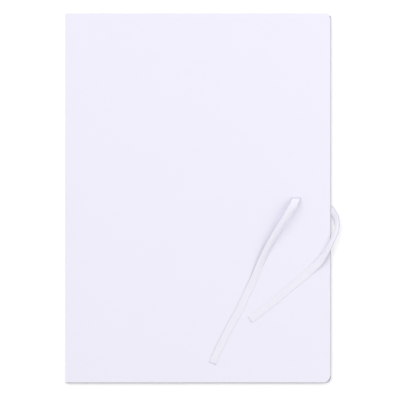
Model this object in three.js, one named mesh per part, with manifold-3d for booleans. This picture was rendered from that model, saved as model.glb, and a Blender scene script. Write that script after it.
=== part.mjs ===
// Tie-closure file folder, lying shut on its back cover.
// Millimetres, +Z up. +X runs from the spine to the fore-edge and +Y from the tail to the head.
// The origin is under the middle of the shut folder, on the surface that it lies on.
import * as THREE from "three";
import { mergeVertices } from "three/addons/utils/BufferGeometryUtils.js";
import Module from "manifold-3d";

const wasm = await Module();
wasm.setup();

// Stock
const cardThickness = 0.4;
const tapeWidth = 6.5;
const tapeThickness = 0.35;
const patchPaperThickness = 0.15;

// Covers
const coverWidth = 230;
const coverHeight = 320;
const headCornerRadius = 4;
const tailCornerRadius = 5.5;
const spineBendRadius = 0.6;
const backPanelInset = 1;

// Flaps folded in from the back panel
const foreFlapDepth = 90;
const endFlapDepth = 75;
const creaseEndInset = 3;
const flapTaper = 12;
const flapCornerRadius = 14;

// Room between the layers of the shut folder
const layerRoom = 0.4;
const tieRoom = 1.0;
const hingeGap = 0.3;

// Ties, their slits and the patches that hold their tails
const frontTieInset = 30;
const backTieInset = 11.6;
const slitEndRoom = 0.5;
const slitFaceRoom = 0.3;
const tailLength = 22;
const tailBendRadius = 0.6;
const glueLine = 0.05;
const patchWidth = 16;
const patchLap = 4;
const patchSetback = 3;
const tapeEdgeChamfer = 0.1;
const tapeStepLength = 3.5;

// Heights of the layers, from the surface up
const endFlapBottom = cardThickness + layerRoom;
const endFlapTop = endFlapBottom + cardThickness;
const foreFlapBottom = endFlapTop + layerRoom;
const foreFlapTop = foreFlapBottom + cardThickness;
const coverBottom = foreFlapTop + tieRoom;
const coverTop = coverBottom + cardThickness;
const hingeHeight = coverTop / 2;

// Outlines in plan
const spineX = -coverWidth / 2;
const foreEdgeX = coverWidth / 2;
const foreFoldX = foreEdgeX - backPanelInset;
const endFoldY = coverHeight / 2 - backPanelInset;
const foreFoldRadius = foreFlapTop / 2;
const endFoldRadius = endFlapTop / 2;
const legLength = 4;
const curveSegments = 8;

// Where the ties come through the card
const frontSlit = { x: foreEdgeX - frontTieInset, y: 0 };
const backSlit = { x: foreEdgeX - backTieInset, y: 0 };
const slitLength = tapeWidth + 2 * slitEndRoom;
const slitWidth = tapeThickness + 2 * slitFaceRoom;

// The free part of the front tie, from its slit: along X, along Y and above the cover in mm,
// then the way that its right-hand edge points: turned from +X and tilted up, in degrees.
const frontTieRoute = [
  [0, -0.1, 1.2, 0, 0],
  [-0.6, -1.0, 3.2, -6, -4],
  [-1.7, -3.3, 5.0, -18, -8],
  [-3.2, -6.5, 6.2, -26, -10],
  [-5.7, -10.8, 6.8, -30, -12],
  [-8.3, -15.2, 6.8, -32, -14],
  [-11.2, -19.9, 6.4, -33, -16],
  [-14.3, -24.7, 5.8, -33, -18],
  [-17.4, -29.9, 5.0, -32, -20],
  [-20.6, -35.1, 4.2, -31, -21],
  [-23.3, -39.9, 3.4, -30, -21],
  [-25.7, -44.6, 2.7, -28, -20],
  [-28.4, -50.2, 2.0, -26, -17],
  [-30.9, -55.9, 1.4, -25, -13],
  [-34.2, -63.8, 0.85, -24, -8],
  [-37.7, -72.1, 0.5, -25, -3],
  [-44.1, -85.3, 0.28, -26, 0],
  [-49.8, -97.5, 0.28, -28, 0],
  [-56.6, -109.6, 0.28, -28, 0],
  [-63.7, -123.5, 0.28, -27, 0],
  [-70.4, -137.7, 0.28, -23, 0],
  [-72.3, -142.8, 0.28, -20, 0],
];

// The back tie between the fore-edge flap and the cover, in the same way, above the flap.
const backTieUnderRoute = [
  [0.05, -0.45, 0.46, 0, 0],
  [0.9, -2.3, 0.42, 32, 0],
  [3.4, -4.3, 0.36, 51, 0],
  [6.6, -6.2, 0.34, 57, 0],
  [9.7, -8.4, 0.36, 52, 0],
];

// The back tie beyond the fore-edge and over the cover, in the same way, above the cover.
const backTieOverRoute = [
  [12.3, -11.0, -0.95, 42, 3],
  [14.3, -13.9, -0.5, 30, 22],
  [15.6, -16.8, 0.1, 18, 32],
  [16.2, -20.4, 0.8, 4, 38],
  [16.3, -24.4, 1.7, -6, 40],
  [15.4, -29.0, 2.7, -18, 40],
  [13.4, -34.0, 3.4, -24, 40],
  [11.6, -37.6, 3.6, -27, 40],
  [9.9, -41.0, 3.6, -29, 38],
  [7.9, -45.2, 3.3, -33, 34],
  [5.3, -49.6, 2.7, -37, 26],
  [2.4, -53.9, 1.95, -42, 16],
  [-1.0, -57.7, 1.25, -46, 8],
  [-5.0, -61.6, 0.65, -49, 3],
  [-9.1, -65.3, 0.32, -50, 0],
  [-20.0, -74.4, 0.28, -51, 0],
  [-32.4, -84.7, 0.28, -51, 0],
  [-45.4, -95.1, 0.28, -51, 0],
  [-58.4, -105.2, 0.28, -51, 0],
];

// A geometry with shared vertices, as a solid that can be joined and cut.
function toSolid(geometry) {
  const bare = geometry.clone();
  bare.deleteAttribute("normal");
  bare.deleteAttribute("uv");
  const merged = mergeVertices(bare, 1e-4);
  const vertProperties = new Float32Array(merged.attributes.position.array);
  const triVerts = new Uint32Array(merged.index.array);
  return new wasm.Manifold(new wasm.Mesh({ numProp: 3, vertProperties, triVerts }));
}

// A joined and cut solid, back as a geometry.
function toGeometry(solid) {
  const { vertProperties, triVerts } = solid.getMesh();
  const geometry = new THREE.BufferGeometry();
  geometry.setAttribute("position", new THREE.BufferAttribute(new Float32Array(vertProperties), 3));
  geometry.setIndex(new THREE.BufferAttribute(new Uint32Array(triVerts), 1));
  geometry.computeVertexNormals();
  return geometry;
}

// A closed outline through [x, y, corner radius] points.
function roundedOutline(corners) {
  const shape = new THREE.Shape();
  const count = corners.length;
  corners.forEach(([x, y, radius], i) => {
    const corner = new THREE.Vector2(x, y);
    const before = new THREE.Vector2(...corners[(i + count - 1) % count]);
    const after = new THREE.Vector2(...corners[(i + 1) % count]);
    const start = corner.clone().add(before.sub(corner).setLength(radius));
    const end = corner.clone().add(after.sub(corner).setLength(radius));
    if (i === 0) {
      shape.moveTo(start.x, start.y);
    } else {
      shape.lineTo(start.x, start.y);
    }
    if (radius > 0) {
      shape.quadraticCurveTo(x, y, end.x, end.y);
    }
  });
  shape.closePath();
  return shape;
}

// A flat sheet with its underside at the height z.
function plate(shape, thickness, z) {
  const geometry = new THREE.ExtrudeGeometry(shape, { depth: thickness, bevelEnabled: false, curveSegments });
  return geometry.translate(0, 0, z);
}

// A section drawn in X and Z, drawn out along Y to both sides of the middle.
function drawnOut(section, length) {
  const geometry = new THREE.ExtrudeGeometry(section, { depth: length, bevelEnabled: false, curveSegments });
  return geometry.rotateX(Math.PI / 2).translate(0, length / 2, 0);
}

// The section of a sheet folded back on itself: the fold's outside at X = 0, the flap on top.
function foldSection(top, flapDepth) {
  const outer = top / 2;
  const inner = outer - cardThickness;
  const section = new THREE.Shape();
  section.moveTo(-outer - legLength, 0);
  section.lineTo(-outer, 0);
  section.absarc(-outer, outer, outer, -Math.PI / 2, Math.PI / 2, false);
  section.lineTo(-flapDepth, top);
  section.lineTo(-flapDepth, top - cardThickness);
  section.lineTo(-outer, top - cardThickness);
  section.absarc(-outer, outer, inner, Math.PI / 2, -Math.PI / 2, true);
  section.lineTo(-outer - legLength, cardThickness);
  section.closePath();
  return section;
}

// One flap with its fold, on the +X side: straight at the crease and tapered towards its free edge.
function foldedFlap(creaseLength, depth, top) {
  const half = creaseLength / 2;
  const corner = Math.min(flapCornerRadius, depth / 3);
  const outline = roundedOutline([
    [legLength, -half, 0],
    [legLength, half, 0],
    [-top, half, 0],
    [-depth, half - flapTaper, corner],
    [-depth, -half + flapTaper, corner],
    [-top, -half, 0],
  ]);
  const folded = toSolid(drawnOut(foldSection(top, depth), creaseLength));
  return folded.intersect(toSolid(plate(outline, 2 * top, -top / 2)));
}

// The section of the half spine on one cover: its outside at X = 0, the cover's leg along +X.
function spineSection(height) {
  const inner = spineBendRadius - cardThickness;
  const section = new THREE.Shape();
  section.moveTo(spineBendRadius + legLength, 0);
  section.lineTo(spineBendRadius + legLength, cardThickness);
  section.lineTo(spineBendRadius, cardThickness);
  section.absarc(spineBendRadius, spineBendRadius, inner, -Math.PI / 2, Math.PI, true);
  section.lineTo(cardThickness, height);
  section.lineTo(0, height);
  section.lineTo(0, spineBendRadius);
  section.absarc(spineBendRadius, spineBendRadius, spineBendRadius, Math.PI, 1.5 * Math.PI, false);
  section.closePath();
  return section;
}

function slitCutter(slit, z) {
  const tall = 4 * cardThickness;
  return toSolid(new THREE.BoxGeometry(slitLength, slitWidth, tall).translate(slit.x, slit.y, z));
}

// The front cover and its half of the spine, one sheet with the front tie's slit.
function frontCover() {
  const left = spineX + spineBendRadius;
  const half = coverHeight / 2;
  const outline = roundedOutline([
    [left, -half, 0],
    [foreEdgeX, -half, tailCornerRadius],
    [foreEdgeX, half, headCornerRadius],
    [left, half, 0],
  ]);
  const panel = toSolid(plate(outline, cardThickness, coverBottom));
  const halfSpine = drawnOut(spineSection(coverTop - hingeHeight - hingeGap / 2), coverHeight);
  halfSpine.rotateX(Math.PI).translate(spineX, 0, coverTop);
  const sheet = panel.add(toSolid(halfSpine));
  return toGeometry(sheet.subtract(slitCutter(frontSlit, coverTop - cardThickness / 2)));
}

// The back panel, its half of the spine and its three flaps, one folded sheet.
function backCover() {
  const left = spineX + spineBendRadius;
  const right = foreFoldX - foreFoldRadius;
  const half = endFoldY - endFoldRadius;
  const outline = roundedOutline([
    [left, -half, 0],
    [right, -half, 0],
    [right, half, 0],
    [left, half, 0],
  ]);
  const panel = toSolid(plate(outline, cardThickness, 0));
  const halfSpine = drawnOut(spineSection(hingeHeight - hingeGap / 2), 2 * half).translate(spineX, 0, 0);

  const endCrease = right - left - 2 * creaseEndInset;
  const endFlap = foldedFlap(endCrease, endFlapDepth, endFlapTop);
  const middleX = (left + right) / 2;
  const headFlap = endFlap.rotate([0, 0, 90]).translate([middleX, endFoldY, 0]);
  const tailFlap = endFlap.rotate([0, 0, -90]).translate([middleX, -endFoldY, 0]);

  const foreCrease = 2 * (half - creaseEndInset);
  const foreFlap = foldedFlap(foreCrease, foreFlapDepth, foreFlapTop).translate([foreFoldX, 0, 0]);
  const slit = slitCutter(backSlit, foreFlapTop - cardThickness / 2);

  const sheet = panel.add(toSolid(halfSpine)).add(headFlap).add(tailFlap).add(foreFlap.subtract(slit));
  return toGeometry(sheet);
}

// The way that a tape's right-hand edge points, from two angles in degrees.
function edgeDirection(turned, tilted) {
  const turn = THREE.MathUtils.degToRad(turned);
  const tilt = THREE.MathUtils.degToRad(tilted);
  return new THREE.Vector3(Math.cos(turn) * Math.cos(tilt), Math.sin(turn) * Math.cos(tilt), Math.sin(tilt));
}

// A tape's glued tail below a card, and its bend up through the slit.
function tailStations(slit, cardBottom) {
  const z = cardBottom - glueLine - tapeThickness / 2;
  const edge = edgeDirection(0, 0);
  const station = (y, height) => ({ at: new THREE.Vector3(slit.x, slit.y + y, height), edge });
  const stations = [
    station(tailLength, z),
    station(tailLength / 2, z),
    station(tailLength / 4, z),
    station(2 * tailBendRadius, z),
  ];
  const bendSteps = 4;
  for (let i = 0; i <= bendSteps; i += 1) {
    const angle = (i / bendSteps) * (Math.PI / 2);
    const y = tailBendRadius * (1 - Math.sin(angle));
    stations.push(station(y, z + tailBendRadius * (1 - Math.cos(angle))));
  }
  return stations;
}

function routeStations(slit, base, route) {
  return route.map(([x, y, height, turned, tilted]) => ({
    at: new THREE.Vector3(slit.x + x, slit.y + y, base + height),
    edge: edgeDirection(turned, tilted),
  }));
}

// A tape's centreline with the way that its width lies at each step.
class TapePath extends THREE.Curve {
  constructor(stations) {
    super();
    const line = new THREE.CatmullRomCurve3(stations.map((station) => station.at));
    const last = stations.length - 1;
    this.centres = [];
    this.frames = { tangents: [], normals: [], binormals: [] };
    for (let i = 0; i < last; i += 1) {
      const span = stations[i].at.distanceTo(stations[i + 1].at);
      const parts = Math.max(1, Math.ceil(span / tapeStepLength));
      for (let part = 0; part < parts; part += 1) {
        this.addStep(line, stations, i, part / parts);
      }
    }
    this.addStep(line, stations, last - 1, 1);
  }

  addStep(line, stations, i, share) {
    const t = (i + share) / (stations.length - 1);
    const tangent = line.getTangent(t);
    const edge = stations[i].edge.clone().lerp(stations[i + 1].edge, share);
    const across = edge.addScaledVector(tangent, -edge.dot(tangent)).normalize();
    this.centres.push(line.getPoint(t));
    this.frames.tangents.push(tangent);
    this.frames.normals.push(new THREE.Vector3().crossVectors(tangent, across));
    this.frames.binormals.push(across.negate());
  }

  getSpacedPoints() {
    return this.centres;
  }

  computeFrenetFrames() {
    return this.frames;
  }
}

// A flat tape along its stations, with eight-sided section.
function tape(stations) {
  const face = tapeThickness / 2;
  const side = tapeWidth / 2;
  const section = new THREE.Shape([
    new THREE.Vector2(face, -side + tapeEdgeChamfer),
    new THREE.Vector2(face, side - tapeEdgeChamfer),
    new THREE.Vector2(face - tapeEdgeChamfer, side),
    new THREE.Vector2(-face + tapeEdgeChamfer, side),
    new THREE.Vector2(-face, side - tapeEdgeChamfer),
    new THREE.Vector2(-face, -side + tapeEdgeChamfer),
    new THREE.Vector2(-face + tapeEdgeChamfer, -side),
    new THREE.Vector2(face - tapeEdgeChamfer, -side),
  ]);
  const path = new TapePath(stations);
  const steps = path.centres.length - 1;
  return new THREE.ExtrudeGeometry(section, { steps, bevelEnabled: false, extrudePath: path });
}

// The paper glued over a tape's tail: flat wings on the card and a low hump over the tape.
function anchorPatch(slit, cardBottom) {
  const wing = patchWidth / 2;
  const hump = tapeWidth / 2 + glueLine + patchPaperThickness;
  const shoulder = hump + tapeThickness + patchPaperThickness;
  const wingTop = cardBottom - glueLine;
  const humpTop = wingTop - tapeThickness - glueLine;
  const section = new THREE.Shape([
    new THREE.Vector2(-wing, wingTop),
    new THREE.Vector2(-wing, wingTop - patchPaperThickness),
    new THREE.Vector2(-shoulder, wingTop - patchPaperThickness),
    new THREE.Vector2(-hump, humpTop - patchPaperThickness),
    new THREE.Vector2(hump, humpTop - patchPaperThickness),
    new THREE.Vector2(shoulder, wingTop - patchPaperThickness),
    new THREE.Vector2(wing, wingTop - patchPaperThickness),
    new THREE.Vector2(wing, wingTop),
    new THREE.Vector2(shoulder, wingTop),
    new THREE.Vector2(hump, humpTop),
    new THREE.Vector2(-hump, humpTop),
    new THREE.Vector2(-shoulder, wingTop),
  ]);
  const length = tailLength + patchLap - patchSetback;
  const middleY = slit.y + patchSetback + length / 2;
  return drawnOut(section, length).translate(slit.x, middleY, 0);
}

function frontTie() {
  const tail = tailStations(frontSlit, coverBottom);
  return tape([...tail, ...routeStations(frontSlit, coverTop, frontTieRoute)]);
}

function backTie() {
  const tail = tailStations(backSlit, foreFlapBottom);
  const under = routeStations(backSlit, foreFlapTop, backTieUnderRoute);
  const over = routeStations(backSlit, coverTop, backTieOverRoute);
  return tape([...tail, ...under, ...over]);
}

// Finishes
const card = { color: 0xf0eefa, roughness: 0.55, metalness: 0 };
const wovenTape = { color: 0xf4f3fb, roughness: 0.85, metalness: 0 };
const patchPaper = { color: 0xf3f1ee, roughness: 0.9, metalness: 0 };

const folder = new THREE.Group();

function addPiece(name, geometry, finish) {
  const piece = new THREE.Mesh(geometry, new THREE.MeshStandardMaterial(finish));
  piece.name = name;
  folder.add(piece);
}

addPiece("front_cover", frontCover(), card);
addPiece("back_cover", backCover(), card);
addPiece("front_tie_tape", frontTie(), wovenTape);
addPiece("back_tie_tape", backTie(), wovenTape);
addPiece("front_anchor_patch", anchorPatch(frontSlit, coverBottom), patchPaper);
addPiece("back_anchor_patch", anchorPatch(backSlit, foreFlapBottom), patchPaper);

export default folder;
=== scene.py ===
"""Looks of the tie-closure file folder: white card covers and flaps, woven ties and their glued patches.

Everything is in metres, in the frame's own axes: +X from the spine to the fore-edge, +Y from the tail
to the head, +Z up. Lengths given in millimetres are turned into metres where they are used.
"""
import math
import random

import bmesh
import bpy
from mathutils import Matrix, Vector, noise


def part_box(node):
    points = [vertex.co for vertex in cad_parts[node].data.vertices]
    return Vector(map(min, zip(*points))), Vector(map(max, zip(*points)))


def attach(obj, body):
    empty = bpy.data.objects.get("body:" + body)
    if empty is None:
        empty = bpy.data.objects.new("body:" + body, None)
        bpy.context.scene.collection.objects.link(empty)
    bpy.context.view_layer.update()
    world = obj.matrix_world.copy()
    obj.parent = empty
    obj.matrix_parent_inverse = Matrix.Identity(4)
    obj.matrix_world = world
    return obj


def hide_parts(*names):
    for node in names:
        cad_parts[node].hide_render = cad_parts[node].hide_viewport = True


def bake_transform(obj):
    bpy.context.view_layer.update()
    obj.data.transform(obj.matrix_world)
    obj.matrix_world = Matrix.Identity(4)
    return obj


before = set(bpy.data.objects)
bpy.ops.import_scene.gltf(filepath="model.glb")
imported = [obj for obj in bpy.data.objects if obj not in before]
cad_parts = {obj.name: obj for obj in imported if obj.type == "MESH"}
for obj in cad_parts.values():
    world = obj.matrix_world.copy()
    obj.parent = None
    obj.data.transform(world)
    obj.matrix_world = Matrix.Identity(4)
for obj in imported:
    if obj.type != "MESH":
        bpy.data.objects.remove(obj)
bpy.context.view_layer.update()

MM = 0.001

# Sheet stock, as in the frame
CARD = 0.4 * MM
LAYER_ROOM = 0.4 * MM
TAPE_WIDTH = 6.5 * MM
TAPE_THICKNESS = 0.35 * MM
PATCH_PAPER = 0.15 * MM
GLUE_LINE = 0.05 * MM

# Boxes of the frame's pieces, and the levels that follow from them
cover_low, cover_high = (Vector(corner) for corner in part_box("front_cover"))
back_high = Vector(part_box("back_cover")[1])
COVER_TOP = cover_high.z
COVER_BOTTOM = COVER_TOP - CARD
FORE_FLAP_TOP = back_high.z
FORE_FLAP_BOTTOM = FORE_FLAP_TOP - CARD
END_FLAP_TOP = FORE_FLAP_BOTTOM - LAYER_ROOM

# The bends beside the spine: outer radius, then radius and length at the middle of the card
SPINE_X = cover_low.x
SPINE_BEND_RADIUS = 0.6 * MM
SPINE_BEND_END = SPINE_X + SPINE_BEND_RADIUS
SPINE_MIDDLE_RADIUS = SPINE_BEND_RADIUS - CARD / 2
SPINE_BEND_RUN = SPINE_MIDDLE_RADIUS * math.pi / 2

# Outlines
HEAD_CORNER_RADIUS = 4 * MM
TAIL_CORNER_RADIUS = 5.5 * MM
FORE_FLAP_DEPTH = 90 * MM
END_FLAP_DEPTH = 75 * MM
CREASE_END_INSET = 3 * MM
FLAP_TAPER = 12 * MM
FLAP_CORNER_RADIUS = 14 * MM

# Slits, and the tails that are glued behind them
FRONT_TIE_INSET = 30 * MM
BACK_TIE_INSET = 11.6 * MM
FRONT_SLIT = Vector((cover_high.x - FRONT_TIE_INSET, 0))
BACK_SLIT = Vector((cover_high.x - BACK_TIE_INSET, 0))
SLIT_LENGTH = 7.5 * MM
SLIT_WIDTH = 0.95 * MM
TAIL_LENGTH = 22 * MM
TAIL_BEND_RADIUS = 0.6 * MM
TAIL_BEND_STEPS = 4

# The cover's cut edges, pressed down a little by the die, and the soft edges of card and patches
CRUSHED_EDGE = 0.9 * MM
CRUSHED_DROP = 0.4 * MM
# Width of the shade painted along the cover's fore-edge and tail, in the cut edge's dark colour
EDGE_SHADE_WIDTH = 0.38 * MM
CARD_ROUNDING = 0.07 * MM
PATCH_ROUNDING = 0.03 * MM

# Angles above which an edge is rounded, or shaded sharp
ROUNDED_ABOVE = math.radians(60)
SHEET_SHARP_ABOVE = math.radians(35)
TAPE_SHARP_ABOVE = math.radians(50)

# Grid steps of the sheets, and how near two grid corners are joined
GRID_STEP = 4 * MM
CORNER_STEP = 0.4 * MM
END_STEP = 0.6 * MM
SPINE_STEP = 8 * MM
LIP_STEPS = 6
BEND_STEPS = 6
SPINE_STEPS = 16
FOLD_STEPS = 8
FLAP_CORNER_STEPS = 10
WELD_DISTANCE = 0.001 * MM

# How unevenly the sheets lie, and how far the flaps spring up at their inner ends
UNEVENNESS = 0.05 * MM
UNEVEN_SPAN_X = 70 * MM
UNEVEN_SPAN_Y = 90 * MM
FLAP_SPRING = 0.12 * MM

# The patches' slope beside the tape, and their grid steps
PATCH_SLOPE = 0.8 * MM
PATCH_STEP_X = 0.4 * MM
PATCH_STEP_Y = 2 * MM

# How finely a tape is divided, and the curl in radians below which it counts as flat
TAPE_STEP = 0.6 * MM
TAPE_LANES = 16
LEAST_CURL = 0.01

# The tape's section: where its selvedges are, as shares of half its width, and how full it is
SELVEDGE_PLACE = 0.9
SELVEDGE_WIDTH = 0.07
SELVEDGE_ROUND_FROM = 0.93
SELVEDGE_ROUND_WIDTH = 0.07
MIDDLE_FULLNESS = 0.78
SELVEDGE_EXTRA = 0.22

# How the tape's width and lift wander along it
WIDTH_WANDER = 0.02
WIDTH_WANDER_SPAN = 7 * MM
LIFT_WANDER = 0.05 * MM
LIFT_WANDER_SPAN = 11 * MM

# The threads that stick out of a cut end, with their least and greatest reach in mm
FRAY_WIDTH = 0.26 * MM
FRAY_COUNT = 13
FRAY_SEED = 7
FRAY_ROOT = 0.4 * MM
FRAY_REACH = (0.1, 0.7)
FRAY_LEAN = 0.3
FRAY_TIP = 0.6

# The free part of the front tie, from its slit, as in the frame: along X, along Y and above the
# cover in mm, then the way that its right-hand edge points: turned from +X and tilted up, in
# degrees. The last number is how far round the tape curls across its width, in degrees.
FRONT_TIE_ROUTE = [
    (0, -0.1, 1.2, 0, 0, 0),
    (-0.6, -1.0, 3.2, -6, -4, 9),
    (-1.7, -3.3, 5.0, -18, -8, 27),
    (-3.2, -6.5, 6.2, -26, -10, 54),
    (-5.7, -10.8, 6.8, -30, -12, 81),
    (-8.3, -15.2, 6.8, -32, -14, 104),
    (-11.2, -19.9, 6.4, -33, -16, 117),
    (-14.3, -24.7, 5.8, -33, -18, 126),
    (-17.4, -29.9, 5.0, -32, -20, 126),
    (-20.6, -35.1, 4.2, -31, -21, 117),
    (-23.3, -39.9, 3.4, -30, -21, 104),
    (-25.7, -44.6, 2.7, -28, -20, 90),
    (-28.4, -50.2, 2.0, -26, -17, 72),
    (-30.9, -55.9, 1.4, -25, -13, 54),
    (-34.2, -63.8, 0.85, -24, -8, 32),
    (-37.7, -72.1, 0.5, -25, -3, 14),
    (-44.1, -85.3, 0.28, -26, 0, 0),
    (-49.8, -97.5, 0.28, -28, 0, 0),
    (-56.6, -109.6, 0.28, -28, 0, 0),
    (-63.7, -123.5, 0.28, -27, 0, 0),
    (-70.4, -137.7, 0.28, -23, 0, 0),
    (-72.3, -142.8, 0.28, -20, 0, 0),
]

# The back tie between the fore-edge flap and the cover, in the same way, above the flap.
BACK_TIE_UNDER_ROUTE = [
    (0.05, -0.45, 0.46, 0, 0, 0),
    (0.9, -2.3, 0.42, 32, 0, 0),
    (3.4, -4.3, 0.36, 51, 0, 0),
    (6.6, -6.2, 0.34, 57, 0, 0),
    (9.7, -8.4, 0.36, 52, 0, 0),
]

# The back tie beyond the fore-edge and over the cover, in the same way, above the cover.
BACK_TIE_OVER_ROUTE = [
    (12.3, -11.0, -0.95, 42, 3, 0),
    (14.3, -13.9, -0.5, 30, 22, 15),
    (15.6, -16.8, 0.1, 18, 32, 50),
    (16.2, -20.4, 0.8, 4, 38, 100),
    (16.3, -24.4, 1.7, -6, 40, 130),
    (15.4, -29.0, 2.7, -18, 40, 145),
    (13.4, -34.0, 3.4, -24, 40, 150),
    (11.6, -37.6, 3.6, -27, 40, 150),
    (9.9, -41.0, 3.6, -29, 38, 140),
    (7.9, -45.2, 3.3, -33, 34, 115),
    (5.3, -49.6, 2.7, -37, 26, 80),
    (2.4, -53.9, 1.95, -42, 16, 45),
    (-1.0, -57.7, 1.25, -46, 8, 20),
    (-5.0, -61.6, 0.65, -49, 3, 5),
    (-9.1, -65.3, 0.32, -50, 0, 0),
    (-20.0, -74.4, 0.28, -51, 0, 0),
    (-32.4, -84.7, 0.28, -51, 0, 0),
    (-45.4, -95.1, 0.28, -51, 0, 0),
    (-58.4, -105.2, 0.28, -51, 0, 0),
]

# Colours, linear
CARD_WHITE = (0.868, 0.852, 0.955, 1)
CARD_SHADE = (0.845, 0.83, 0.935, 1)
# The cut edge's grey, darker than the card's own core, which also paints the shade along the cover's
# fore-edge and tail
CUT_EDGE_AND_SHADE_PALE = (0.52, 0.505, 0.555, 1)
CUT_EDGE_AND_SHADE_DARK = (0.33, 0.315, 0.35, 1)
TAPE_WHITE = (0.895, 0.885, 0.965, 1)
TAPE_SHADE = (0.78, 0.77, 0.86, 1)
# Shade painted along the tapes' edges and at their cut ends
TAPE_EDGE_SHADE = (0.66, 0.65, 0.72, 1)
PATCH_WHITE = (0.86, 0.84, 0.80, 1)
PATCH_SHADE = (0.81, 0.79, 0.745, 1)
WHITE = (1, 1, 1, 1)
FLOOR_WHITE = (0.96, 0.96, 0.96, 1)

# Grain of card and paper: the shares of its noises in its shade, and the fibres' scale and height
CLOUD_SHARE = 0.55
TOOTH_SHARE = 0.45
FIBRE_SCALE = 0.35
FIBRE_HEIGHT = 0.7

# Weave of the tape, in mm: thread pitches, and the lengths over which the shade painted on its edges fades
# out
WARP_PITCH = 0.36
WEFT_PITCH = 0.30
RIM_FADE = 0.35
SHADE_FADE = 12
CUT_FADE_FROM = 0.15
CUT_FADE_TO = 0.5

# How far the threads are lighter than the gaps between them, where shade is painted, and how deep the weave
# is
THREAD_CONTRAST = 0.6
THREAD_BASE = 0.4
WEAVE_DEPTH = 0.06 * MM

# Where a Mix node has its two colours and its mixed colour
MIX_FIRST = 6
MIX_SECOND = 7
MIX_RESULT = 2

# Camera: straight down with a long lens, as on a copy stand
PHOTO_SPAN = 346.4 * MM
PHOTO_CENTRE = Vector((1.65 * MM, -1.55 * MM))
LENS = 135
SENSOR = 36
CAMERA_REACH = 50

# Light on a level surface, as shares of the light at which a colour renders as written
AMBIENT_SHARE = 0.65
KEY_SHARE = 0.185
SIDE_SHARE = 0.145
FLOOR_LIFT = 0.155
FLOOR_HALF = 6.0


def camera():
    """The photo's view, from straight above the folder."""
    data = bpy.data.cameras.new("copy_stand_camera")
    data.lens = LENS
    data.sensor_width = SENSOR
    data.clip_end = CAMERA_REACH
    stand = bpy.data.objects.new("copy_stand_camera", data)
    height = PHOTO_SPAN * LENS / SENSOR
    stand.location = (PHOTO_CENTRE.x, PHOTO_CENTRE.y, COVER_TOP + height)
    bpy.context.collection.objects.link(stand)
    bpy.context.scene.camera = stand


def group_socket(tree, name, kind, way, value=None):
    """A named socket of a node group, with its value where one is given."""
    socket = tree.interface.new_socket(name=name, in_out=way, socket_type=kind)
    if value is not None:
        socket.default_value = value


def join(tree, source, target):
    """Links an output socket to an input socket."""
    tree.links.new(source, target)


def noise_node(tree, **values):
    """A noise texture with the named sockets set."""
    made = tree.nodes.new("ShaderNodeTexNoise")
    for name, value in values.items():
        made.inputs[name].default_value = value
    return made


def maths(tree, operation, *values):
    """A Math node on sockets or numbers, as its output socket."""
    made = tree.nodes.new("ShaderNodeMath")
    made.operation = operation
    for place, value in zip(made.inputs, values):
        if isinstance(value, (int, float)):
            place.default_value = value
        else:
            join(tree, value, place)
    return made.outputs[0]


def colour_mix(tree, share, first, second):
    """A mix of two colours, each a socket or a tuple, as its output socket."""
    made = tree.nodes.new("ShaderNodeMix")
    made.data_type = "RGBA"
    join(tree, share, made.inputs["Factor"])
    for place, value in ((MIX_FIRST, first), (MIX_SECOND, second)):
        if isinstance(value, tuple):
            made.inputs[place].default_value = value
        else:
            join(tree, value, made.inputs[place])
    return made.outputs[MIX_RESULT]


def paper_grain_group():
    """Fibres and tooth of paper or card: colour, roughness and height from two noises and a cloud."""
    tree = bpy.data.node_groups.new("paper_grain", "ShaderNodeTree")
    group_socket(tree, "Light", "NodeSocketColor", "INPUT", WHITE)
    group_socket(tree, "Shade", "NodeSocketColor", "INPUT", WHITE)
    group_socket(tree, "Grain Scale", "NodeSocketFloat", "INPUT", 900.0)
    group_socket(tree, "Smooth", "NodeSocketFloat", "INPUT", 0.5)
    group_socket(tree, "Rough", "NodeSocketFloat", "INPUT", 0.6)
    group_socket(tree, "Color", "NodeSocketColor", "OUTPUT")
    group_socket(tree, "Roughness", "NodeSocketFloat", "OUTPUT")
    group_socket(tree, "Height", "NodeSocketFloat", "OUTPUT")
    given = tree.nodes.new("NodeGroupInput")
    result = tree.nodes.new("NodeGroupOutput")
    place = tree.nodes.new("ShaderNodeTexCoord").outputs["Object"]

    tooth = noise_node(tree, Detail=6.0, Roughness=0.6)
    cloud = noise_node(tree, Scale=22.0, Detail=3.0, Roughness=0.5)
    fibre = noise_node(tree, Detail=2.0, Roughness=0.5, Distortion=1.6)
    for texture in (tooth, cloud, fibre):
        join(tree, place, texture.inputs["Vector"])
    join(tree, given.outputs["Grain Scale"], tooth.inputs["Scale"])
    fibre_scale = maths(tree, "MULTIPLY", given.outputs["Grain Scale"], FIBRE_SCALE)
    join(tree, fibre_scale, fibre.inputs["Scale"])

    from_cloud = maths(tree, "MULTIPLY", cloud.outputs["Fac"], CLOUD_SHARE)
    from_tooth = maths(tree, "MULTIPLY", tooth.outputs["Fac"], TOOTH_SHARE)
    shade = maths(tree, "ADD", from_cloud, from_tooth)
    colour = colour_mix(tree, shade, given.outputs["Light"], given.outputs["Shade"])
    join(tree, colour, result.inputs["Color"])

    rough_span = maths(tree, "SUBTRACT", given.outputs["Rough"], given.outputs["Smooth"])
    above_smooth = maths(tree, "MULTIPLY", rough_span, tooth.outputs["Fac"])
    roughness = maths(tree, "ADD", above_smooth, given.outputs["Smooth"])
    join(tree, roughness, result.inputs["Roughness"])
    fibre_height = maths(tree, "MULTIPLY", fibre.outputs["Fac"], FIBRE_HEIGHT)
    join(tree, maths(tree, "ADD", tooth.outputs["Fac"], fibre_height), result.inputs["Height"])
    return tree


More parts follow.
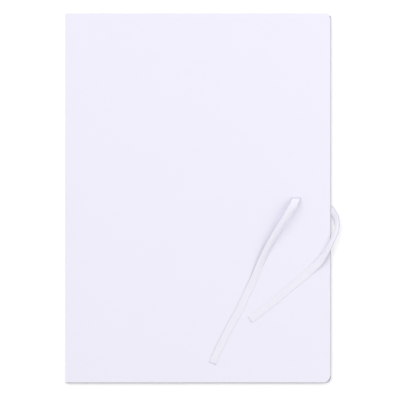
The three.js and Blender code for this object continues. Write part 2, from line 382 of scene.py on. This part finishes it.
def fade(tree, distance, near, far):
    """0 below near, 1 above far and a smooth step between them, as an output socket."""
    ramp = tree.nodes.new("ShaderNodeMapRange")
    ramp.interpolation_type = "SMOOTHSTEP"
    ramp.inputs["From Min"].default_value = near
    ramp.inputs["From Max"].default_value = far
    join(tree, distance, ramp.inputs["Value"])
    return ramp.outputs["Result"]


def thread_wave(tree, run, pitch):
    """A wave of which each half is one thread wide, as an output socket."""
    turns = maths(tree, "DIVIDE", run, pitch)
    return maths(tree, "SINE", maths(tree, "MULTIPLY", turns, math.pi))


def plain_weave_group():
    """A plain weave from the tape's own millimetres: height, a mask of the threads, and a mask of the shade
    painted at its rims and cut end.
    """
    tree = bpy.data.node_groups.new("plain_weave", "ShaderNodeTree")
    group_socket(tree, "Warp Pitch", "NodeSocketFloat", "INPUT", 0.4)
    group_socket(tree, "Weft Pitch", "NodeSocketFloat", "INPUT", 0.35)
    group_socket(tree, "Rim Width", "NodeSocketFloat", "INPUT", 0.5)
    group_socket(tree, "Left Shade", "NodeSocketFloat", "INPUT", 1.0)
    group_socket(tree, "Right Shade", "NodeSocketFloat", "INPUT", 1.0)
    group_socket(tree, "Shade From", "NodeSocketFloat", "INPUT", 0.0)
    group_socket(tree, "Shade To", "NodeSocketFloat", "INPUT", 100.0)
    group_socket(tree, "Height", "NodeSocketFloat", "OUTPUT")
    group_socket(tree, "Mask", "NodeSocketFloat", "OUTPUT")
    group_socket(tree, "Shaded Rims", "NodeSocketFloat", "OUTPUT")
    given = tree.nodes.new("NodeGroupInput")
    result = tree.nodes.new("NodeGroupOutput")
    millimetres = tree.nodes.new("ShaderNodeUVMap")
    millimetres.uv_map = "tape_mm"
    split = tree.nodes.new("ShaderNodeSeparateXYZ")
    join(tree, millimetres.outputs["UV"], split.inputs[0])
    from_cut = split.outputs["X"]
    from_middle = split.outputs["Y"]

    along = thread_wave(tree, from_cut, given.outputs["Weft Pitch"])
    across = thread_wave(tree, from_middle, given.outputs["Warp Pitch"])
    over = maths(tree, "MULTIPLY", along, across)
    join(tree, maths(tree, "MULTIPLY_ADD", over, 0.5, 0.5), result.inputs["Height"])
    gaps = maths(tree, "MULTIPLY", maths(tree, "ABSOLUTE", along), maths(tree, "ABSOLUTE", across))
    join(tree, maths(tree, "POWER", gaps, 0.5), result.inputs["Mask"])

    # The rims and the cut end, where shade is painted
    inside = maths(tree, "SUBTRACT", TAPE_WIDTH / MM / 2, given.outputs["Rim Width"])
    to_left = maths(tree, "MULTIPLY", from_middle, -1.0)
    left = fade(tree, maths(tree, "SUBTRACT", to_left, inside), 0, RIM_FADE)
    right = fade(tree, maths(tree, "SUBTRACT", from_middle, inside), 0, RIM_FADE)
    left = maths(tree, "MULTIPLY", left, given.outputs["Left Shade"])
    right = maths(tree, "MULTIPLY", right, given.outputs["Right Shade"])
    past_start = fade(tree, maths(tree, "SUBTRACT", from_cut, given.outputs["Shade From"]), 0, SHADE_FADE)
    before_stop = fade(tree, maths(tree, "SUBTRACT", given.outputs["Shade To"], from_cut), 0, SHADE_FADE)
    sides = maths(tree, "MULTIPLY", maths(tree, "MAXIMUM", left, right), past_start)
    sides = maths(tree, "MULTIPLY", sides, before_stop)
    end = maths(tree, "SUBTRACT", 1.0, fade(tree, from_cut, CUT_FADE_FROM, CUT_FADE_TO))
    join(tree, maths(tree, "MAXIMUM", sides, end), result.inputs["Shaded Rims"])
    return tree


def material(name):
    """An empty node material with its shader: (material, tree, shader)."""
    made = bpy.data.materials.new(name)
    made.use_nodes = True
    tree = made.node_tree
    shader = tree.nodes["Principled BSDF"]
    return made, tree, shader


def bump(tree, shader, height, distance, strength):
    """Raises the shader's surface by a height socket."""
    made = tree.nodes.new("ShaderNodeBump")
    made.inputs["Distance"].default_value = distance
    made.inputs["Strength"].default_value = strength
    join(tree, height, made.inputs["Height"])
    join(tree, made.outputs["Normal"], shader.inputs["Normal"])


def placed_group(tree, group, settings):
    """A node group in a material, with its inputs set by name."""
    made = tree.nodes.new("ShaderNodeGroup")
    made.node_tree = group
    for name, value in settings.items():
        made.inputs[name].default_value = value
    return made


def paper_material(name, light, shade, grain_scale, smooth, rough, tooth_depth, specular):
    """Matt card or paper. A greater grain scale makes a finer grain."""
    made, tree, shader = material(name)
    settings = {"Light": light, "Shade": shade, "Grain Scale": grain_scale, "Smooth": smooth, "Rough": rough}
    grain = placed_group(tree, paper_grain, settings)
    shader.inputs["Specular IOR Level"].default_value = specular
    join(tree, grain.outputs["Color"], shader.inputs["Base Color"])
    join(tree, grain.outputs["Roughness"], shader.inputs["Roughness"])
    bump(tree, shader, grain.outputs["Height"], distance=tooth_depth, strength=0.6)
    return made


def tape_material(name, rim_width, left_shade, right_shade, shade_from, shade_to):
    """White woven tape, with shade painted at its cut end and along its edges between two lengths in mm from
    it.
    """
    made, tree, shader = material(name)
    settings = {
        "Warp Pitch": WARP_PITCH,
        "Weft Pitch": WEFT_PITCH,
        "Rim Width": rim_width,
        "Left Shade": left_shade,
        "Right Shade": right_shade,
        "Shade From": shade_from,
        "Shade To": shade_to,
    }
    weave = placed_group(tree, plain_weave, settings)
    # The gaps between the threads are painted darker, as shade
    thread = maths(tree, "MULTIPLY_ADD", weave.outputs["Mask"], THREAD_CONTRAST, THREAD_BASE)
    tint = colour_mix(tree, thread, TAPE_SHADE, TAPE_WHITE)
    # Painted shade along the tape's edges and at its cut end
    edged = colour_mix(tree, weave.outputs["Shaded Rims"], tint, TAPE_EDGE_SHADE)
    join(tree, edged, shader.inputs["Base Color"])
    shader.inputs["Roughness"].default_value = 0.85
    shader.inputs["Specular IOR Level"].default_value = 0.25
    shader.inputs["Sheen Weight"].default_value = 0.15
    bump(tree, shader, weave.outputs["Height"], distance=WEAVE_DEPTH, strength=0.7)
    return made


def world_light():
    """Even ambient light, and a plain white backdrop where the camera or a reflection sees past the floor."""
    world = bpy.data.worlds.new("studio")
    world.use_nodes = True
    bpy.context.scene.world = world
    tree = world.node_tree
    ambient = tree.nodes["Background"]
    ambient.inputs["Color"].default_value = WHITE
    ambient.inputs["Strength"].default_value = AMBIENT_SHARE
    backdrop = tree.nodes.new("ShaderNodeBackground")
    backdrop.inputs["Color"].default_value = WHITE
    backdrop.inputs["Strength"].default_value = 1.0
    mixed = tree.nodes.new("ShaderNodeMixShader")
    join(tree, seen_rays(tree), mixed.inputs[0])
    join(tree, ambient.outputs[0], mixed.inputs[1])
    join(tree, backdrop.outputs[0], mixed.inputs[2])
    join(tree, mixed.outputs[0], tree.nodes["World Output"].inputs["Surface"])


def seen_rays(tree):
    """1 for rays from the camera, from a reflection or through glass, as an output socket."""
    rays = tree.nodes.new("ShaderNodeLightPath")
    seen = maths(tree, "MAXIMUM", rays.outputs["Is Camera Ray"], rays.outputs["Is Glossy Ray"])
    return maths(tree, "MAXIMUM", seen, rays.outputs["Is Transmission Ray"])


def softbox(name, place, size, share):
    """A square lamp aimed at the folder, as strong as gives that share of light on a level surface."""
    data = bpy.data.lights.new(name, "AREA")
    data.shape = "SQUARE"
    data.size = size
    towards = -Vector(place)
    distance = towards.length
    data.energy = share * 4 * math.pi * distance**2 / (place[2] / distance)
    lamp = bpy.data.objects.new(name, data)
    lamp.location = place
    lamp.rotation_euler = towards.to_track_quat("-Z", "Y").to_euler()
    bpy.context.collection.objects.link(lamp)


def floor():
    """A white table top. It keeps the folder's shadow, and its open parts are plain white to the camera."""
    half = FLOOR_HALF
    mesh = bpy.data.meshes.new("table_top")
    corners = [(-half, -half, 0), (half, -half, 0), (half, half, 0), (-half, half, 0)]
    mesh.from_pydata(corners, [], [(0, 1, 2, 3)])
    top = bpy.data.objects.new("table_top", mesh)
    bpy.context.collection.objects.link(top)
    made, tree, shader = material("white_table_top")
    shader.inputs["Base Color"].default_value = FLOOR_WHITE
    shader.inputs["Roughness"].default_value = 0.9
    shader.inputs["Specular IOR Level"].default_value = 0.0
    shader.inputs["Emission Color"].default_value = WHITE
    join(tree, maths(tree, "MULTIPLY", seen_rays(tree), FLOOR_LIFT), shader.inputs["Emission Strength"])
    mesh.materials.append(made)


def spread(start, end, step):
    """Numbers from start to end, about a step apart."""
    parts = max(1, round(abs(end - start) / step))
    return [start + (end - start) * i / parts for i in range(parts + 1)]


def lines_between(stops, step):
    """Grid lines through all the stops, and about a step apart between them."""
    lines = [stops[0]]
    for start, end in zip(stops, stops[1:]):
        lines += spread(start, end, step)[1:]
    return lines


class Sheet:
    """One folded sheet, laid out as a layer of quads halfway through its thickness."""

    def __init__(self):
        self.layer = bmesh.new()

    def patch(self, across, along, place, keep=None, painted_edge_shade=None):
        """Quads over two lists of grid lines: place gives a point, keep what stays, and the last test picks
        the faces that get the second material, painted as edge shade.
        """
        grid = [[self.layer.verts.new(place(a, b)) for b in along] for a in across]
        for i in range(len(across) - 1):
            for j in range(len(along) - 1):
                a = (across[i] + across[i + 1]) / 2
                b = (along[j] + along[j + 1]) / 2
                if keep is None or keep(a, b):
                    ring = (grid[i][j], grid[i + 1][j], grid[i + 1][j + 1], grid[i][j + 1])
                    face = self.layer.faces.new(ring)
                    # The second material on these faces is shade painted along the edge
                    face.material_index = 1 if painted_edge_shade and painted_edge_shade(a, b) else 0

    def piece(self, name, thickness, finishes, rounding):
        """The finished object: joined where patches meet, with its thickness and soft cut edges."""
        layer = self.layer
        loose = [vert for vert in layer.verts if not vert.link_faces]
        bmesh.ops.delete(layer, geom=loose, context="VERTS")
        bmesh.ops.remove_doubles(layer, verts=layer.verts, dist=WELD_DISTANCE)
        bmesh.ops.recalc_face_normals(layer, faces=layer.faces)
        mesh = bpy.data.meshes.new(name)
        layer.to_mesh(mesh)
        layer.free()
        made = bpy.data.objects.new(name, mesh)
        bpy.context.collection.objects.link(made)
        for finish in finishes:
            mesh.materials.append(finish)
        thick = made.modifiers.new("thickness", "SOLIDIFY")
        thick.thickness = thickness
        thick.offset = 0
        thick.use_even_offset = True
        thick.material_offset_rim = len(finishes) - 1
        if rounding:
            soft = made.modifiers.new("soft_edges", "BEVEL")
            soft.width = rounding
            soft.segments = 2
            soft.limit_method = "ANGLE"
            soft.angle_limit = ROUNDED_ABOVE
        settle(made)
        return made


def settle(made):
    """Applies the modifiers and shades all but the sharp edges smooth."""
    bpy.context.view_layer.update()
    graph = bpy.context.evaluated_depsgraph_get()
    final = bpy.data.meshes.new_from_object(made.evaluated_get(graph))
    made.modifiers.clear()
    made.data = final
    final.name = made.name
    final.shade_smooth()
    final.set_sharp_from_angle(angle=SHEET_SHARP_ABOVE)


def ease(x, y):
    """The slight unevenness of a lying sheet, at most 0.05 mm."""
    return UNEVENNESS * noise.noise(Vector((x / UNEVEN_SPAN_X, y / UNEVEN_SPAN_Y, 0.3)))


def soft_step(share):
    """A share from 0 to 1 that starts and ends gently."""
    return share * share * (3 - 2 * share)


def corner_cut(distance, radius):
    """How far a round corner takes the edge back, at a distance from the side that it ends on."""
    if distance >= radius:
        return 0
    return radius - math.sqrt(max(0, radius**2 - (radius - distance) ** 2))


def edge_distance(x, y):
    """How far a place on the cover is from its cut outline, which has no side at the spine."""
    from_fore_edge = cover_high.x - x
    radius = HEAD_CORNER_RADIUS if y > 0 else TAIL_CORNER_RADIUS
    from_end = cover_high.y - abs(y)
    if from_fore_edge < radius and from_end < radius:
        return radius - math.hypot(radius - from_fore_edge, radius - from_end)
    return min(from_fore_edge, from_end)


def crushed(distance):
    """How far the die has pressed the edge of the board down, at a distance from the cut."""
    if distance >= CRUSHED_EDGE:
        return 0
    return CRUSHED_DROP * (1 - max(0, distance) / CRUSHED_EDGE) ** 2


def cover_runs(slit_left, slit_right):
    """Ways along the cover from its spine bend, closer at the round corners and the pressed lip."""
    right = cover_high.x
    corner_from = right - TAIL_CORNER_RADIUS
    flat = lines_between([SPINE_BEND_END, slit_left, slit_right, corner_from], GRID_STEP)
    corner = spread(corner_from, right - CRUSHED_EDGE, CORNER_STEP)[1:]
    lip = [right - CRUSHED_EDGE * (1 - i / LIP_STEPS) for i in range(1, LIP_STEPS + 1)]
    over_bend = spread(-SPINE_BEND_RUN, 0, SPINE_BEND_RUN / BEND_STEPS)
    return over_bend + [x - SPINE_BEND_END for x in (flat + corner + lip)[1:]]


def cover_lanes():
    """Places along the spine from tail to head, closer at the round corners and the pressed lips."""
    half = cover_high.y
    slit_half = SLIT_WIDTH / 2
    lip_half = half - CRUSHED_EDGE
    inner_half = half - TAIL_CORNER_RADIUS
    lip_step = CRUSHED_EDGE / LIP_STEPS
    lanes = spread(-half, -lip_half, lip_step)
    lanes += spread(-lip_half, -inner_half, END_STEP)[1:]
    lanes += lines_between([-inner_half, -slit_half, slit_half, inner_half], GRID_STEP)[1:]
    lanes += spread(inner_half, lip_half, END_STEP)[1:]
    lanes += spread(lip_half, half, lip_step)[1:]
    return lanes


def cover_point(run, y):
    """A place on the front cover: over the spine bend where run is below 0, and flat past it."""
    half = cover_high.y
    middle = COVER_TOP - CARD / 2
    if run < 0:
        angle = math.pi / 2 - run / SPINE_MIDDLE_RADIUS
        x = SPINE_BEND_END + SPINE_MIDDLE_RADIUS * math.cos(angle)
        return Vector((x, y, middle - SPINE_MIDDLE_RADIUS + SPINE_MIDDLE_RADIUS * math.sin(angle)))
    x = SPINE_BEND_END + run
    head = half - corner_cut(cover_high.x - x, HEAD_CORNER_RADIUS)
    tail = half - corner_cut(cover_high.x - x, TAIL_CORNER_RADIUS)
    outer = half - TAIL_CORNER_RADIUS * 2
    if y > outer:
        y = outer + (y - outer) * (head - outer) / (half - outer)
    elif y < -outer:
        y = -outer + (y + outer) * (tail - outer) / (half - outer)
    return Vector((x, y, middle + ease(x, y) - crushed(edge_distance(x, y))))


def front_cover():
    """The cover from its spine bend to the fore-edge, with the slit for the front tie."""
    slit_left = FRONT_SLIT.x - SLIT_LENGTH / 2
    slit_right = FRONT_SLIT.x + SLIT_LENGTH / 2

    def outside_slit(run, y):
        in_slit = slit_left < SPINE_BEND_END + run < slit_right and abs(y) < SLIT_WIDTH / 2
        return not in_slit

    def painted_edge_shade(run, y):
        """Whether a place is in the shade painted along the fore-edge or the tail."""
        at_head = y > cover_high.y - (cover_high.x - SPINE_BEND_END - run)
        return run > 0 and not at_head and edge_distance(SPINE_BEND_END + run, y) < EDGE_SHADE_WIDTH

    sheet = Sheet()
    sheet.patch(cover_runs(slit_left, slit_right), cover_lanes(), cover_point, outside_slit, painted_edge_shade)
    made = sheet.piece("front_cover_card", CARD, [card, card_cut_edge_and_shade], CARD_ROUNDING)
    dress(made, "front", "cover_card", "front_cover")


def panel_point(run, y):
    """A place on the back panel: up the spine bend where run is left of its end, and flat past it."""
    middle = CARD / 2
    if run < SPINE_BEND_END:
        angle = -math.pi / 2 - (SPINE_BEND_END - run) / SPINE_MIDDLE_RADIUS
        x = SPINE_BEND_END + SPINE_MIDDLE_RADIUS * math.cos(angle)
        return Vector((x, y, middle + SPINE_MIDDLE_RADIUS + SPINE_MIDDLE_RADIUS * math.sin(angle)))
    return Vector((run, y, middle))


def fold(run, radius, reach):
    """Distance out from a flap's crease and height, for a way along the sheet from the crease."""
    middle = CARD / 2
    arc = radius * math.pi
    if run < arc:
        angle = run / radius - math.pi / 2
        return radius * math.cos(angle), middle + radius + radius * math.sin(angle)
    lift = FLAP_SPRING * ((run - arc) / reach) ** 2
    return -(run - arc), middle + 2 * radius + lift


def flap(radius, depth, half_crease, outwards):
    """A flap's grid lines and its place(): s is the way from the crease, t is -1 to 1 along the crease."""
    reach = depth - radius - CARD / 2
    arc = radius * math.pi

    def place(s, t):
        out, z = fold(s, radius, reach)
        inwards = max(0, s - arc)
        taper = FLAP_TAPER * (inwards / reach)
        cut = corner_cut(reach - inwards, FLAP_CORNER_RADIUS)
        return outwards(out, t * (half_crease - taper - cut), z)

    turned = spread(0, arc, arc / FOLD_STEPS)
    flat = spread(arc, arc + reach - FLAP_CORNER_RADIUS, GRID_STEP)[1:]
    corner = []
    for i in range(1, FLAP_CORNER_STEPS + 1):
        turn = math.sin(i * math.pi / (2 * FLAP_CORNER_STEPS))
        corner.append(arc + reach - FLAP_CORNER_RADIUS * (1 - turn))
    return turned + flat + corner, place


def add_fore_flap(sheet, rows, right, crease_half, radius):
    """Adds the fore-edge flap, with the slit for the back tie, to the back cover's sheet."""
    slit_centre = radius * math.pi + right - BACK_SLIT.x
    slit_near = slit_centre - SLIT_LENGTH / 2
    slit_far = slit_centre + SLIT_LENGTH / 2
    just_over = MM / 100

    def outwards(out, y, z):
        return Vector((right + out, y, z))

    def outside_slit(s, t):
        in_slit = slit_near < s < slit_far and abs(t) * crease_half < SLIT_WIDTH / 2
        return not in_slit

    lines, place = flap(radius, FORE_FLAP_DEPTH, crease_half, outwards)
    shares = [y / crease_half for y in rows if abs(y) <= crease_half + just_over]
    sheet.patch(sorted(lines + [slit_near, slit_far]), shares, place, outside_slit)


def add_end_flap(sheet, side, columns, half, crease_left, crease_right, radius):
    """Adds the head flap, side 1, or the tail flap, side -1, to the back cover's sheet."""
    centre = (crease_left + crease_right) / 2
    half_end = (crease_right - crease_left) / 2
    just_over_one = 1.0001

    def outwards(out, x, z):
        return Vector((centre + x, side * (half + out), z))

    lines, place = flap(radius, END_FLAP_DEPTH, half_end, outwards)
    shares = [(x - centre) / half_end for x in columns]
    sheet.patch(lines, [t for t in shares if abs(t) <= just_over_one], place)


def back_cover():
    """The back panel and its three flaps, one sheet folded over at the head, the tail and the fore-edge."""
    fore_bend = (FORE_FLAP_TOP - CARD) / 2
    end_bend = (END_FLAP_TOP - CARD) / 2
    left = SPINE_BEND_END
    right = back_high.x - fore_bend - CARD / 2
    half = back_high.y - end_bend - CARD / 2
    crease_left = left + CREASE_END_INSET
    crease_right = right - CREASE_END_INSET
    crease_half = half - CREASE_END_INSET
    slit_half = SLIT_WIDTH / 2
    columns = lines_between([left, crease_left, crease_right, right], GRID_STEP)
    rows = lines_between([-half, -crease_half, -slit_half, slit_half, crease_half, half], GRID_STEP)
    over_bend = spread(left - SPINE_BEND_RUN, left, SPINE_BEND_RUN / BEND_STEPS)[:-1]

    sheet = Sheet()
    sheet.patch(over_bend + columns, rows, panel_point)
    add_fore_flap(sheet, rows, right, crease_half, fore_bend)
    for side in (1, -1):
        add_end_flap(sheet, side, columns, half, crease_left, crease_right, end_bend)
    made = sheet.piece("back_cover_card", CARD, [card, card_cut_edge_and_shade], CARD_ROUNDING)
    dress(made, "root", "cover_card", "back_cover")


def spine_strip():
    """The card of the spine between its two bends."""
    x = SPINE_X + CARD / 2
    low = SPINE_BEND_RADIUS
    high = COVER_TOP - SPINE_BEND_RADIUS
    half = back_high.y

    def place(z, y):
        return Vector((x, y, z))

    sheet = Sheet()
    sheet.patch(spread(low, high, (high - low) / SPINE_STEPS), spread(-half, half, SPINE_STEP), place)
    made = sheet.piece("spine_card", CARD, [card, card_cut_edge_and_shade], 0)
    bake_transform(made)


def dress(made, body, slot_name, *nodes):
    """Puts a piece on its body and hides the solids whose place it takes. Its slot name is not used."""
    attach(made, body)
    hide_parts(*nodes)


def edge_direction(turned, tilted):
    """Which way a tape's right-hand edge points, from its two angles in degrees."""
    turn = math.radians(turned)
    tilt = math.radians(tilted)
    return Vector((math.cos(turn) * math.cos(tilt), math.sin(turn) * math.cos(tilt), math.sin(tilt)))


def tail_stations(slit, card_bottom):
    """A tie's glued tail below a card, and its bend up through the slit."""
    z = card_bottom - GLUE_LINE - TAPE_THICKNESS / 2
    edge = edge_direction(0, 0)
    runs = [TAIL_LENGTH, TAIL_LENGTH / 2, TAIL_LENGTH / 4, 2 * TAIL_BEND_RADIUS]
    stations = [(Vector((slit.x, slit.y + run, z)), edge, 0) for run in runs]
    for i in range(TAIL_BEND_STEPS + 1):
        angle = i / TAIL_BEND_STEPS * math.pi / 2
        y = TAIL_BEND_RADIUS * (1 - math.sin(angle))
        rise = TAIL_BEND_RADIUS * (1 - math.cos(angle))
        stations.append((Vector((slit.x, slit.y + y, z + rise)), edge, 0))
    return stations


def route_stations(slit, base, route):
    """The route's points in the frame, each with its edge direction and its curl."""
    stations = []
    for x, y, z, turned, tilted, curl in route:
        point = Vector((slit.x + x * MM, slit.y + y * MM, base + z * MM))
        stations.append((point, edge_direction(turned, tilted), math.radians(curl)))
    return stations


def smooth_point(points, i, share):
    """A point on the smooth curve through all the points, a share of the way from point i to the next."""
    last = len(points) - 1
    p1, p2 = points[i], points[i + 1]
    p0 = points[i - 1] if i > 0 else p1 * 2 - p2
    p3 = points[i + 2] if i + 2 <= last else p2 * 2 - p1
    d0, d1, d2 = (math.sqrt((b - a).length) for a, b in ((p0, p1), (p1, p2), (p2, p3)))
    start = ((p1 - p0) / d0 - (p2 - p0) / (d0 + d1) + (p2 - p1) / d1) * d1
    end = ((p2 - p1) / d1 - (p3 - p1) / (d1 + d2) + (p3 - p2) / d2) * d1
    s = share
    return (
        p1 * (2 * s**3 - 3 * s**2 + 1)
        + start * (s**3 - 2 * s**2 + s)
        + p2 * (3 * s**2 - 2 * s**3)
        + end * (s**3 - s**2)
    )


def tape_frames(stations, step):
    """Centres, travel directions, edge directions and curls along a tape, about a step apart."""
    points = [at for at, edge, curl in stations]
    centres, edges, curls = [], [], []
    for i in range(len(points) - 1):
        parts = max(1, math.ceil((points[i + 1] - points[i]).length / step))
        for part in range(parts):
            share = part / parts
            centres.append(smooth_point(points, i, share))
            blend = soft_step(share)
            edges.append(stations[i][1].lerp(stations[i + 1][1], blend))
            curls.append(stations[i][2] + (stations[i + 1][2] - stations[i][2]) * blend)
    centres.append(points[-1].copy())
    edges.append(stations[-1][1])
    curls.append(stations[-1][2])
    frames = []
    for i, centre in enumerate(centres):
        ahead = centres[min(i + 1, len(centres) - 1)]
        behind = centres[max(i - 1, 0)]
        travel = (ahead - behind).normalized()
        across = (edges[i] - travel * edges[i].dot(travel)).normalized()
        frames.append((centre, travel, across, curls[i]))
    return frames


def curled(side, height, curl):
    """A point of the tape's flat section, moved to where it is on the section curled about the travel."""
    if curl < LEAST_CURL:
        return side, height
    radius = TAPE_WIDTH / curl
    angle = side / radius
    middle = radius * math.sin(curl / 2) / (curl / 2)
    return (radius + height) * math.sin(angle), (radius + height) * math.cos(angle) - middle


def tape_section():
    """The flat tape's section, all the way round: thinner in the middle than at the selvedges."""
    upper = []
    for i in range(TAPE_LANES + 1):
        share = -math.cos(math.pi * i / TAPE_LANES)
        selvedge = math.exp(-(((abs(share) - SELVEDGE_PLACE) / SELVEDGE_WIDTH) ** 2))
        into_round = max(0, (abs(share) - SELVEDGE_ROUND_FROM) / SELVEDGE_ROUND_WIDTH)
        rounding = math.sqrt(max(0, 1 - into_round**2))
        height = TAPE_THICKNESS / 2 * (MIDDLE_FULLNESS + SELVEDGE_EXTRA * selvedge) * rounding
        upper.append((share * TAPE_WIDTH / 2, height))
    lower = [(side, -height) for side, height in reversed(upper[1:-1])]
    return upper + lower


def slack(run):
    """How a tape's width and lift wander along its length, as a share of the width and a height."""
    width = 1 + WIDTH_WANDER * noise.noise(Vector((run / WIDTH_WANDER_SPAN, 0.7, 0.2)))
    lift = LIFT_WANDER * noise.noise(Vector((run / LIFT_WANDER_SPAN, 3.1, 0.9)))
    return width, lift


def frayed_end(mesh, measure, end_frame):
    """Short ends of the lengthwise threads, which stick out of a tape's cut end."""
    centre, travel, across = end_frame[:3]
    up = travel.cross(across)
    draw = random.Random(FRAY_SEED)
    for thread in range(FRAY_COUNT):
        side = (thread / (FRAY_COUNT - 1) - 0.5) * (TAPE_WIDTH - 2 * FRAY_WIDTH)
        reach = draw.uniform(*FRAY_REACH) * MM
        lean = draw.uniform(-FRAY_LEAN, FRAY_LEAN) * reach
        start = centre + across * side - travel * FRAY_ROOT
        tip = centre + across * (side + lean) + travel * reach
        rings = []
        for middle, share in ((start, 1), (tip, FRAY_TIP)):
            half = FRAY_WIDTH / 2 * share
            corners = ((-half, -half / 2), (half, -half / 2), (half, half / 2), (-half, half / 2))
            rings.append([mesh.verts.new(middle + across * a + up * b) for a, b in corners])
        faces = [mesh.faces.new(rings[0][::-1]), mesh.faces.new(rings[1])]
        for i in range(4):
            k = (i + 1) % 4
            faces.append(mesh.faces.new((rings[0][i], rings[0][k], rings[1][k], rings[1][i])))
        for face in faces:
            for loop in face.loops:
                loop[measure].uv = (0, side / MM)


def tape_rings(mesh, frames, section):
    """The section's corners at each frame of a tape, and how far along the tape each ring is."""
    rings = []
    lengths = []
    run = 0
    for i, (centre, travel, across, curl) in enumerate(frames):
        if i:
            run += (centre - frames[i - 1][0]).length
        up = travel.cross(across)
        width, lift = slack(run)
        ring = []
        for side, height in section:
            side, height = curled(side * width, height, curl)
            ring.append(mesh.verts.new(centre + across * side + up * (height + lift)))
        rings.append(ring)
        lengths.append(run)
    return rings, lengths


def tape_skin(mesh, measure, rings, lengths, section):
    """The tape's faces between its rings and over its ends, with its length and width in mm as UV."""
    count = len(section)
    for i in range(len(rings) - 1):
        for j in range(count):
            k = (j + 1) % count
            face = mesh.faces.new((rings[i][j], rings[i][k], rings[i + 1][k], rings[i + 1][j]))
            spots = ((i, j), (i, k), (i + 1, k), (i + 1, j))
            for loop, (row, lane) in zip(face.loops, spots):
                loop[measure].uv = ((lengths[-1] - lengths[row]) / MM, section[lane][0] / MM)
    mesh.faces.new(rings[0][::-1])
    mesh.faces.new(rings[-1])


def tape(name, stations, finish, body, node):
    """One woven tape along its stations, as a closed mesh."""
    frames = tape_frames(stations, TAPE_STEP)
    section = tape_section()
    mesh = bmesh.new()
    measure = mesh.loops.layers.uv.new("tape_mm")
    rings, lengths = tape_rings(mesh, frames, section)
    tape_skin(mesh, measure, rings, lengths, section)
    frayed_end(mesh, measure, frames[-1])
    bmesh.ops.recalc_face_normals(mesh, faces=mesh.faces)
    data = bpy.data.meshes.new(name)
    mesh.to_mesh(data)
    mesh.free()
    data.materials.append(finish)
    data.shade_smooth()
    data.set_sharp_from_angle(angle=TAPE_SHARP_ABOVE)
    made = bpy.data.objects.new(name, data)
    bpy.context.collection.objects.link(made)
    dress(made, body, "woven_tape", node)


def front_tie():
    """The tie that comes out of the front cover's slit and lies on the cover."""
    stations = tail_stations(FRONT_SLIT, COVER_BOTTOM)
    stations += route_stations(FRONT_SLIT, COVER_TOP, FRONT_TIE_ROUTE)
    tape("front_tie", stations, front_tape, "front", "front_tie_tape")


def back_tie():
    """The tie that comes out of the fore-edge flap's slit and turns up round the fore-edge."""
    stations = tail_stations(BACK_SLIT, FORE_FLAP_BOTTOM)
    stations += route_stations(BACK_SLIT, FORE_FLAP_TOP, BACK_TIE_UNDER_ROUTE)
    stations += route_stations(BACK_SLIT, COVER_TOP, BACK_TIE_OVER_ROUTE)
    tape("back_tie", stations, back_tape, "root", "back_tie_tape")


def anchor_patch(name, body, node):
    """The paper glued over a tie's tail: flat wings, and a soft hump where the tape lies under it."""
    low, high = (Vector(corner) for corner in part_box(node))
    middle = (low.x + high.x) / 2
    wing = high.z - PATCH_PAPER / 2
    hump = low.z + PATCH_PAPER / 2
    flat = TAPE_WIDTH / 2

    def place(x, y):
        away = (abs(x - middle) - flat) / PATCH_SLOPE
        return Vector((x, y, hump + (wing - hump) * soft_step(min(1, max(0, away)))))

    sheet = Sheet()
    sheet.patch(spread(low.x, high.x, PATCH_STEP_X), spread(low.y, high.y, PATCH_STEP_Y), place)
    made = sheet.piece(name, PATCH_PAPER, [patch_paper], PATCH_ROUNDING)
    dress(made, body, "patch_paper", node)


bpy.context.scene.view_settings.view_transform = "Standard"
camera()

paper_grain = paper_grain_group()
plain_weave = plain_weave_group()
card = paper_material(
    "smooth_white_card",
    CARD_WHITE,
    CARD_SHADE,
    grain_scale=1400.0,
    smooth=0.42,
    rough=0.58,
    tooth_depth=0.012 * MM,
    specular=0.4,
)
# Cut edges of the card, made darker so that they also paint the shade along the cover's fore-edge and tail
card_cut_edge_and_shade = paper_material(
    "cut_card_edge_and_painted_shade",
    CUT_EDGE_AND_SHADE_PALE,
    CUT_EDGE_AND_SHADE_DARK,
    grain_scale=3000.0,
    smooth=0.7,
    rough=0.9,
    tooth_depth=0.03 * MM,
    specular=0.2,
)
patch_paper = paper_material(
    "gummed_patch_paper",
    PATCH_WHITE,
    PATCH_SHADE,
    grain_scale=1100.0,
    smooth=0.8,
    rough=0.95,
    tooth_depth=0.02 * MM,
    specular=0.2,
)
# Shade painted along the ties' edges: the front tie's left edge up to 125 mm from its cut end, the back tie's
# edges from 75 mm on, and both cut ends
front_tape = tape_material(
    "front_woven_tape", rim_width=0.5, left_shade=0.8, right_shade=0.0, shade_from=-20, shade_to=125
)
back_tape = tape_material(
    "back_woven_tape", rim_width=0.9, left_shade=0.3, right_shade=1.0, shade_from=75, shade_to=400
)

front_tie()
back_tie()
front_cover()
back_cover()
spine_strip()
anchor_patch("front_tie_patch", "front", "front_anchor_patch")
anchor_patch("back_tie_patch", "root", "back_anchor_patch")

world_light()
softbox("key_softbox", place=(-1.6, 1.4, 2.4), size=2.4, share=KEY_SHARE)
softbox("side_softbox", place=(1.1, 0.3, 1.1), size=1.2, share=SIDE_SHARE)
floor()
